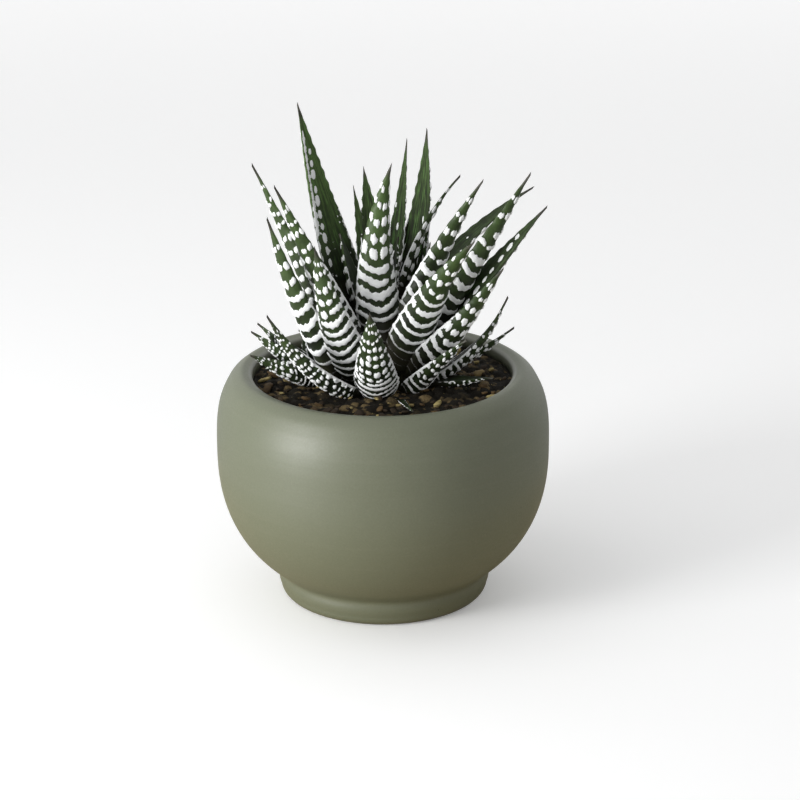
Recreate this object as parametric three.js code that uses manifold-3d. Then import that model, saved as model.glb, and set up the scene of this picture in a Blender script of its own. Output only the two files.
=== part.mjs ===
// Potted haworthia: a rosette of stiff pointed leaves with raised white bands, and a small
// offset rosette beside it, in soil in a round glazed bowl on a short foot.
// Millimetres, +Z up. The origin is the centre of the foot, on the surface it stands on.
// The front of the plant faces -Y.
import * as THREE from "three";
import { mergeVertices } from "three/addons/utils/BufferGeometryUtils.js";
import Module from "manifold-3d";

const wasm = await Module();
wasm.setup();

// Bowl
const BOWL_RADIUS = 58.5;
const BELLY_HEIGHT = 54;
const WALL = 5;
const LATHE_SIDES = 40;
const UNDER_DEPTH = 53.4;
const UNDER_POWER = 2.3;
const SHOULDER_RISE = 36.8;
const SHOULDER_POWER = 3.5;
const SHOULDER_TOP_SHARE = 0.776;
const LIP_RADIUS = 3.9;
const LIP_CENTRE = 49.3;
const LIP_HEIGHT = 79.1;
const LIP_START = 70;
const FLOOR_HEIGHT = 8;
const INNER_RISE = 31.8;
const NECK_DROP = 2;
const FLAT_SHARE = 0.97;

// Foot of the bowl
const FOOT_RADIUS = 37.4;
const FOOT_HEIGHT = 8.4;
const FOOT_EDGE = 3.6;
const FOOT_SHOULDER = 1;
const FOOT_NOTCH_RADIUS = 36.4;
const FOOT_NOTCH_HEIGHT = 9.4;
const FOOT_RING = 28;
const FOOT_RECESS = 1.2;

// Clearance between pieces that touch
const GAP = 0.3;

// Soil
const SOIL_HEIGHT = 78.4;
const SOIL_MOUND = 1.2;
const LUMP_HEIGHT = 0.4;
const LUMP_SIZE = 3.2;
const SOIL_RINGS = 7;
const SOIL_SHRINK = 0.992;
const LOW_ROOT = 7;

// Stems. stand is how far off the stem its leaves start; the offset's are sunk in and joined.
const STEM_ROOT = 12;
const STEM_SIDES = 14;
const MAIN_STEM = { place: [0, 0], foot: 14, top: 3, rise: 28, stand: GAP };
const OFFSET_STEM = { place: [-22, -4], foot: 3.4, top: 2, rise: 9, stand: -2.2 };

// Leaves: shape of the blade
const WIDEST_AT = 0.18;
const ROOT_SHARE = 0.76;
const TAPER_POWER = 1.5;
const THICKNESS_SHARE = 0.4;
const MOST_THICK = 5;
const LEAST_THICK = 0.7;
const CHANNEL_SHARE = 0.1;
const SHOULDER_SHARE = 0.62;
const SHOULDER_DEPTH = 0.78;
const BAND_PITCH = 6.2;
const BAND_HEIGHT = 0.5;
const BAND_FADE = 0.6;
const CHEVRON_SHARE = 0.16;
const TIP_SHARE = 0.985;

// Main rosette, from the outermost leaves in towards the heart. azimuth and rise are the way the
// leaf points, in degrees, 0 to the right and 270 to the front; bow is how far it curls up from
// root to tip; root is its height on the stem; at is the side of the stem that it grows from, where
// that isn't its azimuth; turn twists the blade; place roots it in the soil, away from the stem.
const LEAVES = [
  { name: "front", azimuth: 265, rise: 53.9, bow: 14, length: 47, width: 15.5, root: 1, at: 264 },
  {
    name: "front_left_low", azimuth: 212, rise: 44.7, bow: 34, length: 49.7, width: 13,
    root: 1, turn: 10, place: [-8.5, -13.5],
  },
  {
    name: "front_right_low", azimuth: 323, rise: 41.4, bow: -6, length: 34.5, width: 12,
    root: 1, at: 306, turn: -10,
  },
  { name: "front_slip", azimuth: 286, rise: 5, bow: 8, length: 20, width: 2.6, root: 1, place: [5, -19] },
  {
    name: "right_low", azimuth: 350, rise: 28.8, bow: 23, length: 38, width: 11,
    root: 3, at: 8, turn: -14,
  },
  { name: "right_soil", azimuth: 333, rise: 9, bow: 6, length: 30, width: 10, root: 3 },
  { name: "right_outer", azimuth: 346, rise: 47.4, bow: 42, length: 46.1, width: 11, root: 2, at: 341 },
  { name: "back_right_low", azimuth: 55, rise: 30, bow: 10, length: 38, width: 12, root: 3 },
  { name: "back_low", azimuth: 88, rise: 34, bow: 12, length: 44, width: 13, root: 4 },
  { name: "back_left_low", azimuth: 120, rise: 32, bow: 10, length: 40, width: 12, root: 3 },
  { name: "left_back_low", azimuth: 148, rise: 24, bow: 12, length: 24, width: 11, root: 3 },
  { name: "left_back_mid", azimuth: 168, rise: 52, bow: 10, length: 27, width: 13, root: 7 },
  { name: "back_left_mid", azimuth: 112, rise: 40, bow: 10, length: 48, width: 13, root: 9 },
  { name: "back_right_mid", azimuth: 68, rise: 40, bow: 10, length: 46, width: 13, root: 8 },
  {
    name: "left_outer", azimuth: 203, rise: 65.8, bow: 15, length: 69, width: 14.5,
    root: 2, at: 206, turn: 20,
  },
  {
    name: "front_left", azimuth: 225, rise: 68.3, bow: 18, length: 55.9, width: 15.5,
    root: 5, at: 232, turn: 26,
  },
  {
    name: "front_right", azimuth: 311, rise: 53.5, bow: -23, length: 66.3, width: 15.5,
    root: 9, at: 302, turn: -32,
  },
  {
    name: "right_banded", azimuth: 325, rise: 49.1, bow: 10, length: 58.8, width: 14.5,
    root: 6, at: 322, turn: -22,
  },
  {
    name: "right_long", azimuth: 353, rise: 50.5, bow: -2, length: 73.9, width: 13.5,
    root: 9, at: 336, turn: 32,
  },
  { name: "back_right", azimuth: 44, rise: 46, bow: 8, length: 38, width: 12, root: 11 },
  { name: "back", azimuth: 78, rise: 50, bow: 8, length: 46, width: 12, root: 11 },
  { name: "back_left", azimuth: 136, rise: 48, bow: 8, length: 44, width: 12, root: 10 },
  { name: "left_back", azimuth: 166, rise: 56, bow: 8, length: 40, width: 12, root: 12 },
  { name: "left_long", azimuth: 180, rise: 65.1, bow: -2, length: 78, width: 14, root: 8, turn: 28 },
  {
    name: "left_inner", azimuth: 204, rise: 64, bow: 0, length: 69.9, width: 14,
    root: 13, at: 212, turn: 24,
  },
  {
    name: "tallest", azimuth: 152, rise: 72.8, bow: 6, length: 82.4, width: 16.5,
    root: 18, at: 165, turn: -22,
  },
  {
    name: "centre_front", azimuth: 330, rise: 86.6, bow: -33, length: 67.3, width: 16,
    root: 15, at: 276, turn: -46,
  },
  {
    name: "right_broad", azimuth: 346, rise: 57.4, bow: 3, length: 79.1, width: 15,
    root: 12, at: 344, turn: -30,
  },
  {
    name: "right_dark", azimuth: 18, rise: 42.1, bow: -33, length: 68, width: 10.5,
    root: 20, at: 10, turn: 14,
  },
  {
    name: "right_short", azimuth: 336, rise: 62.1, bow: -12, length: 67, width: 12,
    root: 18, at: 328, turn: -34,
  },
  { name: "back_slim_left", azimuth: 106, rise: 55.4, bow: -3, length: 50.4, width: 8, root: 20, at: 110 },
  { name: "heart_back", azimuth: 101, rise: 49, bow: 1, length: 56.1, width: 12, root: 24, at: 84 },
  {
    name: "heart_right", azimuth: 28, rise: 58.8, bow: -40, length: 54.3, width: 9,
    root: 24, at: 40, turn: -38,
  },
  { name: "heart_tall", azimuth: 60, rise: 72.3, bow: 30, length: 67.7, width: 12.5, root: 22, at: 18 },
  { name: "heart", azimuth: 66, rise: 69.8, bow: 19, length: 60.1, width: 7.5, root: 25, at: 85 },
  { name: "heart_left", azimuth: 160, rise: 70, bow: 6, length: 30, width: 11, root: 24 },
  {
    name: "bud_front", azimuth: 235, rise: 82, bow: 4, length: 26, width: 7,
    root: 28, place: [-1.6, -0.6],
  },
  { name: "bud_right", azimuth: 20, rise: 80, bow: 4, length: 24, width: 7, root: 28, place: [1.6, 0.8] },
  { name: "bud_left", azimuth: 150, rise: 84, bow: 2, length: 24, width: 7, root: 28.5, place: [0, 0] },
];

// Leaves of the small offset rosette at the left, all one piece with its stem.
const OFFSET_LEAVES = [
  { azimuth: 196, rise: 21.9, bow: 14, length: 25.8, width: 12.5, root: 4, turn: 42 },
  { azimuth: 187, rise: 34.7, bow: 8, length: 27.9, width: 11.5, root: 5, turn: 34 },
  { azimuth: 172, rise: 37, bow: 8, length: 26.4, width: 11.5, root: 6, turn: 34 },
  { azimuth: 146, rise: 30, bow: 10, length: 21, width: 9, root: 5 },
  { azimuth: 110, rise: 30, bow: 14, length: 20, width: 8, root: 4 },
  { azimuth: 140, rise: 62, bow: 6, length: 12, width: 7, root: 7 },
];

const radians = THREE.MathUtils.degToRad;

// A solid from a closed geometry, and back.
function solidOf(geometry) {
  const plain = new THREE.BufferGeometry();
  plain.setAttribute("position", geometry.getAttribute("position").clone());
  plain.setIndex(geometry.getIndex());
  const merged = mergeVertices(plain, 1e-4);
  return new wasm.Manifold(
    new wasm.Mesh({
      numProp: 3,
      vertProperties: merged.getAttribute("position").array,
      triVerts: new Uint32Array(merged.getIndex().array),
    }),
  );
}

function geometryOf(solid) {
  const mesh = solid.getMesh();
  const geometry = new THREE.BufferGeometry();
  geometry.setAttribute("position", new THREE.BufferAttribute(new Float32Array(mesh.vertProperties), 3));
  geometry.setIndex(new THREE.BufferAttribute(new Uint32Array(mesh.triVerts), 1));
  geometry.computeVertexNormals();
  return geometry;
}

// The largest connected piece of a solid, so that a scrap left by a cut is dropped.
function mainPiece(solid) {
  return solid.decompose().reduce((best, piece) => (piece.volume() > best.volume() ? piece : best));
}

// Radius of a rounded wall at a height away from its widest place: a superellipse.
function roundedRadius(radius, away, reach, power) {
  return radius * Math.pow(1 - Math.pow(away / reach, power), 1 / power);
}

// Points of an arc in a lathe profile, from one angle to another in degrees.
function arc(centre, height, radius, from, to, steps) {
  return Array.from({ length: steps + 1 }, (_, i) => {
    const angle = radians(from + ((to - from) * i) / steps);
    return new THREE.Vector2(centre + radius * Math.cos(angle), height + radius * Math.sin(angle));
  });
}

// Profile of a rounded wall between two heights, each step further from the belly than the last.
function wallPoints(radius, reach, power, fromAway, toAway, sign, steps) {
  return Array.from({ length: steps + 1 }, (_, i) => {
    const away = fromAway + ((toAway - fromAway) * i) / steps;
    return new THREE.Vector2(roundedRadius(radius, away, reach, power), BELLY_HEIGHT + sign * away);
  });
}

function bowlGeometry() {
  const notchAway = BELLY_HEIGHT - FOOT_NOTCH_HEIGHT - FOOT_SHOULDER;
  const shoulderAway = SHOULDER_RISE * SHOULDER_TOP_SHARE;
  const profile = [
    new THREE.Vector2(0, FOOT_RECESS),
    new THREE.Vector2(FOOT_RING, FOOT_RECESS),
    new THREE.Vector2(FOOT_RING + FOOT_RECESS, 0),
    ...arc(FOOT_RADIUS - FOOT_EDGE, FOOT_EDGE, FOOT_EDGE, -90, 0, 3),
    new THREE.Vector2(FOOT_RADIUS, FOOT_HEIGHT - FOOT_SHOULDER),
    new THREE.Vector2(FOOT_NOTCH_RADIUS, FOOT_NOTCH_HEIGHT),
    ...wallPoints(BOWL_RADIUS, UNDER_DEPTH, UNDER_POWER, notchAway, 0, -1, 7),
    ...wallPoints(BOWL_RADIUS, SHOULDER_RISE, SHOULDER_POWER, 0, shoulderAway, 1, 5).slice(1),
    ...arc(LIP_CENTRE, LIP_HEIGHT, LIP_RADIUS, LIP_START, 180, 4),
    ...innerProfile(1),
  ];
  return new THREE.LatheGeometry(profile, LATHE_SIDES);
}

// The inside of the bowl, from under the lip down to the middle of its floor. The soil has the
// same profile, scaled a little towards the middle of the belly.
function innerProfile(scale) {
  const radius = BOWL_RADIUS - WALL;
  const depth = BELLY_HEIGHT - FLOOR_HEIGHT;
  const neckAway = LIP_HEIGHT - BELLY_HEIGHT - NECK_DROP;
  const upper = wallPoints(radius, INNER_RISE, SHOULDER_POWER, neckAway, 0, 1, 3);
  const lower = wallPoints(radius, depth, UNDER_POWER, 0, depth * FLAT_SHARE, -1, 5).slice(1);
  return [...upper, ...lower, new THREE.Vector2(0, FLOOR_HEIGHT)].map((point) => {
    return new THREE.Vector2(point.x * scale, BELLY_HEIGHT + (point.y - BELLY_HEIGHT) * scale);
  });
}

// Height of the soil's surface: a low mound with small lumps, flat at the edge.
function soilTop(x, y) {
  const share = Math.min(Math.hypot(x, y) / (LIP_CENTRE - LIP_RADIUS), 1);
  const crossed = Math.sin(x / LUMP_SIZE) * Math.cos(y / LUMP_SIZE);
  const slanted = Math.sin((x - 2 * y) / (2 * LUMP_SIZE));
  return SOIL_HEIGHT + SOIL_MOUND * (1 - share ** 2) + LUMP_HEIGHT * (crossed + slanted) * (1 - share ** 8);
}

function soilSolid() {
  const mouth = LIP_CENTRE - LIP_RADIUS - GAP;
  const top = Array.from({ length: SOIL_RINGS + 1 }, (_, i) => {
    return new THREE.Vector2((mouth * i) / SOIL_RINGS, SOIL_HEIGHT);
  });
  const profile = [...top, ...innerProfile(SOIL_SHRINK)];
  profile.reverse();
  const geometry = new THREE.LatheGeometry(profile, LATHE_SIDES);
  const position = geometry.getAttribute("position");
  for (let i = 0; i < position.count; i += 1) {
    if (Math.abs(position.getY(i) - SOIL_HEIGHT) < GAP) {
      position.setY(i, soilTop(position.getX(i), -position.getZ(i)));
    }
  }
  geometry.rotateX(Math.PI / 2);
  return solidOf(geometry);
}

// A stem: a short upright cone, rooted in the soil.
function stemGeometry(stem, grow) {
  const height = STEM_ROOT + stem.rise + 2 * grow;
  const geometry = new THREE.CylinderGeometry(stem.top + grow, stem.foot + grow, height, STEM_SIDES);
  geometry.rotateX(Math.PI / 2);
  geometry.translate(stem.place[0], stem.place[1], SOIL_HEIGHT - STEM_ROOT - grow + height / 2);
  return geometry;
}

// Share of the full width at a place t along a leaf, 0 at the root and 1 at the tip.
function widthShare(t) {
  const swell = ROOT_SHARE + (1 - ROOT_SHARE) * Math.sin((Math.min(t / WIDEST_AT, 1) * Math.PI) / 2);
  return swell * (1 - Math.pow(t, TAPER_POWER));
}

// Where a leaf leaves its stem: just off the stem's cone at the height of the leaf's root.
function rootPlace(leaf, stem) {
  const angle = radians(leaf.at ?? leaf.azimuth);
  const share = Math.min(leaf.root / stem.rise, 1);
  const radius = THREE.MathUtils.lerp(stem.foot, stem.top, share) + stem.stand;
  return [stem.place[0] + radius * Math.cos(angle), stem.place[1] + radius * Math.sin(angle)];
}

// The way a leaf runs at a place t along it, the way its width lies, and the way its inner face looks.
function leafFrame(leaf, t) {
  const heading = radians(leaf.azimuth);
  const climb = radians(leaf.rise + leaf.bow * (t - 0.5));
  const along = new THREE.Vector3(
    Math.cos(climb) * Math.cos(heading),
    Math.cos(climb) * Math.sin(heading),
    Math.sin(climb),
  );
  const side = new THREE.Vector3(-Math.sin(heading), Math.cos(heading), 0);
  side.applyAxisAngle(along, radians(leaf.turn ?? 0));
  const inward = new THREE.Vector3().crossVectors(along, side);
  return { along, side, inward };
}

// Outline of a leaf as [across, inward, along], from the middle of its inner face: a margin, the
// channel, the other margin, then the outer face with its keel. The margins lie further along.
function leafSection(half, thick, raised) {
  const reach = half * CHEVRON_SHARE;
  const shoulder = half * SHOULDER_SHARE;
  const depth = thick * SHOULDER_DEPTH + raised;
  return [
    [-half - raised / 2, 0, reach],
    [0, -half * CHANNEL_SHARE, 0],
    [half + raised / 2, 0, reach],
    [shoulder, -depth, 0],
    [0, -thick - raised, -reach],
    [-shoulder, -depth, 0],
  ];
}

// Closes rings of points into a skin, with the middle of the first ring and a tip as its ends.
function skinOf(rings, tip) {
  const sides = rings[0].length;
  const middle = new THREE.Vector3();
  rings[0].forEach((point) => middle.addScaledVector(point, 1 / sides));
  const vertices = [...rings.flat(), middle, tip];
  const last = (rings.length - 1) * sides;
  const faces = [];
  for (let i = 0; i < sides; i += 1) {
    const next = (i + 1) % sides;
    for (let k = 0; k < last; k += sides) {
      faces.push(k + i, k + next + sides, k + next, k + i, k + i + sides, k + next + sides);
    }
    faces.push(i, next, vertices.length - 2);
    faces.push(last + next, last + i, vertices.length - 1);
  }
  const geometry = new THREE.BufferGeometry();
  const positions = vertices.flatMap((vertex) => vertex.toArray());
  geometry.setAttribute("position", new THREE.Float32BufferAttribute(positions, 3));
  geometry.setIndex(faces);
  return geometry;
}

// A leaf: rings along a curved run, every other ring swollen on the outer face for a raised band.
// grow widens the leaf all round, for the clearance that it cuts into a neighbour.
function leafGeometry(leaf, stem, grow) {
  const steps = 2 * Math.round(leaf.length / BAND_PITCH);
  const place = leaf.place ?? rootPlace(leaf, stem);
  const centre = new THREE.Vector3(place[0], place[1], SOIL_HEIGHT + leaf.root);
  const rings = [];
  for (let k = 0; k <= steps; k += 1) {
    const { along, side, inward } = leafFrame(leaf, k / steps);
    const share = widthShare((k / steps) * TIP_SHARE);
    const half = (leaf.width / 2) * share;
    const thick = THREE.MathUtils.clamp(2 * half * THICKNESS_SHARE, LEAST_THICK, MOST_THICK);
    const raised = k % 2 === 1 ? BAND_HEIGHT * Math.min(share / BAND_FADE, 1) : 0;
    const ring = leafSection(half, thick, raised).map(([across, out, forward]) => {
      const away = new THREE.Vector2(across, out + thick / 2);
      away.setLength(away.length() + grow);
      return centre
        .clone()
        .addScaledVector(side, away.x)
        .addScaledVector(inward, away.y - thick / 2)
        .addScaledVector(along, k === 0 ? -grow : forward);
    });
    rings.push(ring);
    if (k < steps) {
      centre.addScaledVector(along, (leaf.length * TIP_SHARE) / steps);
    }
  }
  const tip = centre.addScaledVector(leafFrame(leaf, 1).along, leaf.length * (1 - TIP_SHARE) + grow);
  return skinOf(rings, tip);
}

const MATERIALS = {
  glaze: new THREE.MeshStandardMaterial({ color: 0x7f8468, roughness: 0.55, metalness: 0 }),
  soil: new THREE.MeshStandardMaterial({ color: 0x2e2219, roughness: 0.95, metalness: 0 }),
  stem: new THREE.MeshStandardMaterial({ color: 0x6d6a43, roughness: 0.8, metalness: 0 }),
  leaf: new THREE.MeshStandardMaterial({ color: 0x35502a, roughness: 0.5, metalness: 0 }),
};

function addPiece(name, geometry, material) {
  const mesh = new THREE.Mesh(geometry, material.clone());
  mesh.name = name;
  plant.add(mesh);
}

const plant = new THREE.Group();

function addBowl() {
  const geometry = bowlGeometry();
  geometry.rotateX(Math.PI / 2);
  addPiece("bowl", geometry, MATERIALS.glaze);
}

// The offset rosette: its leaves are sunk into its stem and joined with it.
function offsetSolid(grow) {
  return OFFSET_LEAVES.reduce((joined, leaf) => {
    return joined.add(solidOf(leafGeometry(leaf, OFFSET_STEM, grow)));
  }, solidOf(stemGeometry(OFFSET_STEM, grow)));
}

// Each leaf is cut clear of the stem and of the leaves outside it, and the offset of them all.
function addPlant() {
  addPiece("stem", stemGeometry(MAIN_STEM, 0), MATERIALS.stem);
  const blockers = [solidOf(stemGeometry(MAIN_STEM, GAP))];
  for (const leaf of LEAVES) {
    const whole = solidOf(leafGeometry(leaf, MAIN_STEM, 0));
    const clear = blockers.reduce((solid, blocker) => solid.subtract(blocker), whole);
    blockers.push(solidOf(leafGeometry(leaf, MAIN_STEM, GAP)));
    addPiece(`leaf_${leaf.name}`, geometryOf(mainPiece(clear)), MATERIALS.leaf);
  }
  const offset = blockers.reduce((solid, blocker) => solid.subtract(blocker), offsetSolid(0));
  addPiece("offset_rosette", geometryOf(mainPiece(offset)), MATERIALS.leaf);
}

// The soil has a plain hole for each stem, and a hollow where a low leaf presses into it.
function addSoil() {
  const lowLeaves = LEAVES.filter((leaf) => leaf.root < LOW_ROOT);
  const holes = [
    solidOf(stemGeometry(MAIN_STEM, GAP)),
    offsetSolid(GAP),
    ...lowLeaves.map((leaf) => solidOf(leafGeometry(leaf, MAIN_STEM, GAP))),
  ];
  const soil = holes.reduce((solid, hole) => solid.subtract(hole), soilSolid());
  addPiece("soil", geometryOf(mainPiece(soil)), MATERIALS.soil);
}

addBowl();
addSoil();
addPlant();

export default plant;
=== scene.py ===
import math
from collections import namedtuple

import bpy
import numpy as np
from bpy.props import FloatProperty, FloatVectorProperty, IntProperty, PointerProperty
from mathutils import Matrix, Vector


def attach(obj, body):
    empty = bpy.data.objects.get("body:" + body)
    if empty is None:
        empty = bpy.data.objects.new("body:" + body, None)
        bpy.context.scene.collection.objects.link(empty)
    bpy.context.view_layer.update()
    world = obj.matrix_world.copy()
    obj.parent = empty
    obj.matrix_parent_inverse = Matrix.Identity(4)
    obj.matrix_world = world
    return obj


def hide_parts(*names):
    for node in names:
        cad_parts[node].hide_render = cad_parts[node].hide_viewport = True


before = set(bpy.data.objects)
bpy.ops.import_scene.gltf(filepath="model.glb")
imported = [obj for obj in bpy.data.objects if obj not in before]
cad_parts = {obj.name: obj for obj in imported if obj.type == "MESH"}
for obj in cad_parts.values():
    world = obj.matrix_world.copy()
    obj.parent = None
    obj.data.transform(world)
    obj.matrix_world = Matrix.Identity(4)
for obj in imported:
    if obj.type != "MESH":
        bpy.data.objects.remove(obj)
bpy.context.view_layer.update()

bl_info = {
    "name": "Potted haworthia",
    "version": (1, 0, 0),
    "blender": (4, 5, 0),
    "location": "View3D > Sidebar > Plant",
    "description": "A banded rosette succulent in soil in a round glazed bowl",
    "category": "Add Mesh",
}

MM = 0.001

# Camera: where it stands, its lens and the width of its frame in mm, how far it looks down and
# rolls in degrees, and how far it sees in metres.
CAMERA_PLACE = (6.05, -930.977, 410.225)
CAMERA_LENS = 126.99
FRAME_WIDTH = 36
CAMERA_DOWN = 20.034
CAMERA_ROLL = -0.338
SIGHT = 50

# Leaf blade: shares of its length or width, and sizes in mm. The chevron is how far the middle of
# the outer face lags behind its margins; its powers are for the inner and the outer face.
# RING_PITCH is the step between the rings of the leaves' solids.
WIDEST_AT = 0.18
ROOT_SHARE = 0.76
TAPER_POWER = 1.5
THICKNESS_SHARE = 0.4
LEAST_THICK = 0.7
MOST_THICK = 5.0
CHANNEL_SHARE = 0.1
CHEVRON_SHARE = 0.16
CHEVRON_POWERS = (1.5, 1.45)
CHEVRON_STARTS = (0, 0.06)
TIP_SHARE = 0.985
RING_PITCH = 6.2

# Grid of a leaf: points across its outer and its inner face, and the fewest rows along it.
OUTER_POINTS = 40
INNER_POINTS = 16
LEAST_ROWS = 24

# Bands: the most that a leaf has, the range of their widths, how far they lean, how far their cuts
# shift in columns, and two waves in them, each by its height in mm and its rate across and along
# the leaf. They lie closer at the root, by a share of the leaf's length that wears off over
# another.
MOST_BANDS = 80
BAND_WIDTHS = (0.85, 1.15)
BAND_LEAN = 0.3
CUT_SHIFT = 0.14
SLOW_WAVE = (0.32, 2.1, 0.45)
QUICK_WAVE = (0.2, 6.3, 0.7)
ROOT_CROWDING = 0.1
CROWDING_REACH = 0.13

# Where along a leaf its marks have grown wide, where they shrink, over what stretch about its
# look's broken place the bands break up, and where the marks end.
MARKS_GROW = (0.05, 0.35)
MARKS_SHRINK = (0.45, 0.8)
BREAKING = (-0.14, 0.12)
MARKS_END = (0.88, 0.96)

# Ovals: how much longer their pitch is than the bands', how far they slip in mm, the range of
# their sizes, how long and how wide they are in their place, how square at the sides, and how many
# are missing. ARC_SHARE is the way round the outer face of a leaf that is 1 wide on either side.
OVAL_STRETCH = 0.16
OVAL_SLIP = 0.6
OVAL_SIZES = (0.75, 1.2)
OVAL_LENGTH = 1.18
OVAL_WIDTH = 0.41
OVAL_POWER = 2.5
OVALS_LOST = 0.05
ARC_SHARE = 2.5

# Beads that the bands are fused from: how many to an oval's width and how far they swell a band.
BEADS = 2
BEAD_SWELL = 0.17

# Dots of the inner face: columns across it, the widest grid of them, the least width of a column
# and half that of a dot in mm, and where they end. INNER_TONE is how dark that face is without
# streaks.
DOT_COLUMNS = 5
DOT_GRID = (120, 16)
LEAST_COLUMN = 0.4
DOT_HALF = 0.4
DOTS_END = 0.66
INNER_TONE = 0.55

# The margin of an edged leaf, in mm: how far in the white line lies and half its width, how far in
# the row of ovals lies, half the ovals' width and length, and how far they slip.
EDGE_IN = 0.8
EDGE_LINE = 0.5
EDGE_ROW = 2.7
EDGE_OVAL = (0.95, 1.8)
EDGE_SLIP = 0.7

# Relief: share of it on the inner face, the span of a mark's field over which it rises, and half
# the width in mm at which it is full. Then how far the margin bulges at each mark in mm, half the
# width at which that is full, and how near to the margin and how far up the leaf it starts.
INNER_RELIEF = 0.45
RELIEF_SPAN = (-0.15, 0.75)
RELIEF_FULL = 2.2
MARGIN_WAVE = 0.42
WAVE_FULL = 3
WAVE_ACROSS = (0.7, 1)
WAVE_ALONG = (0.04, 0.15)

# Range of the leaves' shades, drawn at random; the tone left at the root, where painted shade
# darkens the green, and where the tone is full again; and how many mm of leaf one step of the
# skin's map covers.
LEAF_SHADES = (0.88, 1.12)
ROOT_SHADE_TONE = 0.04
ROOT_SHADE_SPAN = (0.14, 0.85)
SKIN_LENGTH = 40

# Numbers that start each kind of random draw.
DOT_SEED = 500
EDGE_SEED = 700
SHADE_SEED = 900
OFFSET_SEED = 60
CRUMB_SEED = 11
BARK_SEED = 23

# Stems: place of the foot, radius there and at the top, height above the soil, and how far the
# leaves stand off, in mm. STEM_ROOT is how deep a stem goes on in the soil, STEM_GRID its rows and
# columns of points, and OFFSET_GROWTH what the offset's radius gains.
Stem = namedtuple("Stem", "place foot top rise stand")
MAIN_STEM = Stem((0, 0), 14, 3, 28, 0.3)
OFFSET_STEM = Stem((-22, -4), 3.4, 2, 9, -2.2)
STEM_ROOT = 12
STEM_GRID = (60, 72)
OFFSET_GROWTH = 0.3

# How a leaf is marked. pitch is from one band to the next in mm, share is how much of it is white,
# broken is where along the leaf the bands break up into ovals, columns is how many ovals lie round
# the outer face, curl is how far the ends of a band run on towards the tip and bend is how late
# they do so, line is the weight of the pale margin, tone is how light the green is, partly painted
# shade, lower on the leaves that lie low or deep in the rosette, bare is how far up from the root
# the leaf is dark, by painted shade over dry old bases, inner is how many dots the inner face has,
# dash is their length in mm, streak is how pale its streaks are, and edge is how much of the inner
# face, from one margin, is marked with a white line and a row of ovals; below 0 it is the other
# margin and has no line.
Look = namedtuple(
    "Look", "pitch share broken columns curl bend line tone bare inner dash streak edge",
    defaults=(0.3, 0.5, 0.3, 0),
)
LOOKS = {
    "chevrons": Look(5.1, 0.6, 0.5, 4, 0.5, 1.6, 1.0, 0.8, 0.17),
    "crescents": Look(4.3, 0.56, 0.6, 4, 0.5, 2.1, 0.8, 0.55, 0.08),
    "tight": Look(4.1, 0.56, 0.62, 4, 0.45, 2.1, 0.8, 0.5, 0.1),
    "swept": Look(5.0, 0.44, 0.62, 4, 0.42, 2.0, 0.6, 0.52, 0.21),
    "front": Look(3.3, 0.58, 0.36, 6, 0.4, 1.7, 0.5, 0.36, 0.07),
    "low": Look(3.1, 0.45, 0.38, 5, 0.45, 2.0, 0.5, 0.3, 0.12),
    "pebbled": Look(2.6, 0.52, 0.12, 7, 0.4, 2.0, 0.5, 0.25, 0.1),
    "faint": Look(2.4, 0.42, 0.1, 6, 0.4, 2.0, 0.3, 0.15, 0.45),
    "blocks": Look(5.7, 0.45, 0.66, 3, 0.42, 2.4, 0.4, 0.5, 0.22),
    "bars": Look(4.8, 0.52, 0.5, 4, 0.4, 2.2, 0.4, 0.45, 0.2),
    "dotted": Look(4.4, 0.54, 0.28, 4, 0.4, 2.0, 0.4, 0.45, 0.22),
    "tubercles": Look(4.2, 0.48, 0.1, 4, 0.4, 2.0, 0.4, 0.5, 0.15),
    "edged": Look(4.4, 0.64, 0.05, 4, 0.3, 2.0, 0.4, 1.3, 0.22, 0.5, 0.3, 0.7, 0.16),
    "streaked": Look(5.0, 0.5, 0.08, 4, 0.4, 2.0, 0.5, 0.45, 0.3, 0.25, 0.4, 0.45),
    "lined": Look(5.0, 0.5, 0.08, 4, 0.4, 2.0, 0.5, 0.5, 0.3, 0.25, 0.4, 0.45, -0.13),
    "heart": Look(4.8, 0.42, 0.08, 4, 0.4, 2.0, 0.3, 0.62, 0.24, 1.3, 1.6, 1.0),
    "small": Look(2.15, 0.47, 0.34, 6, 0.5, 2.0, 0.6, 0.36, 0.06, dash=0.4),
}

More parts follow.
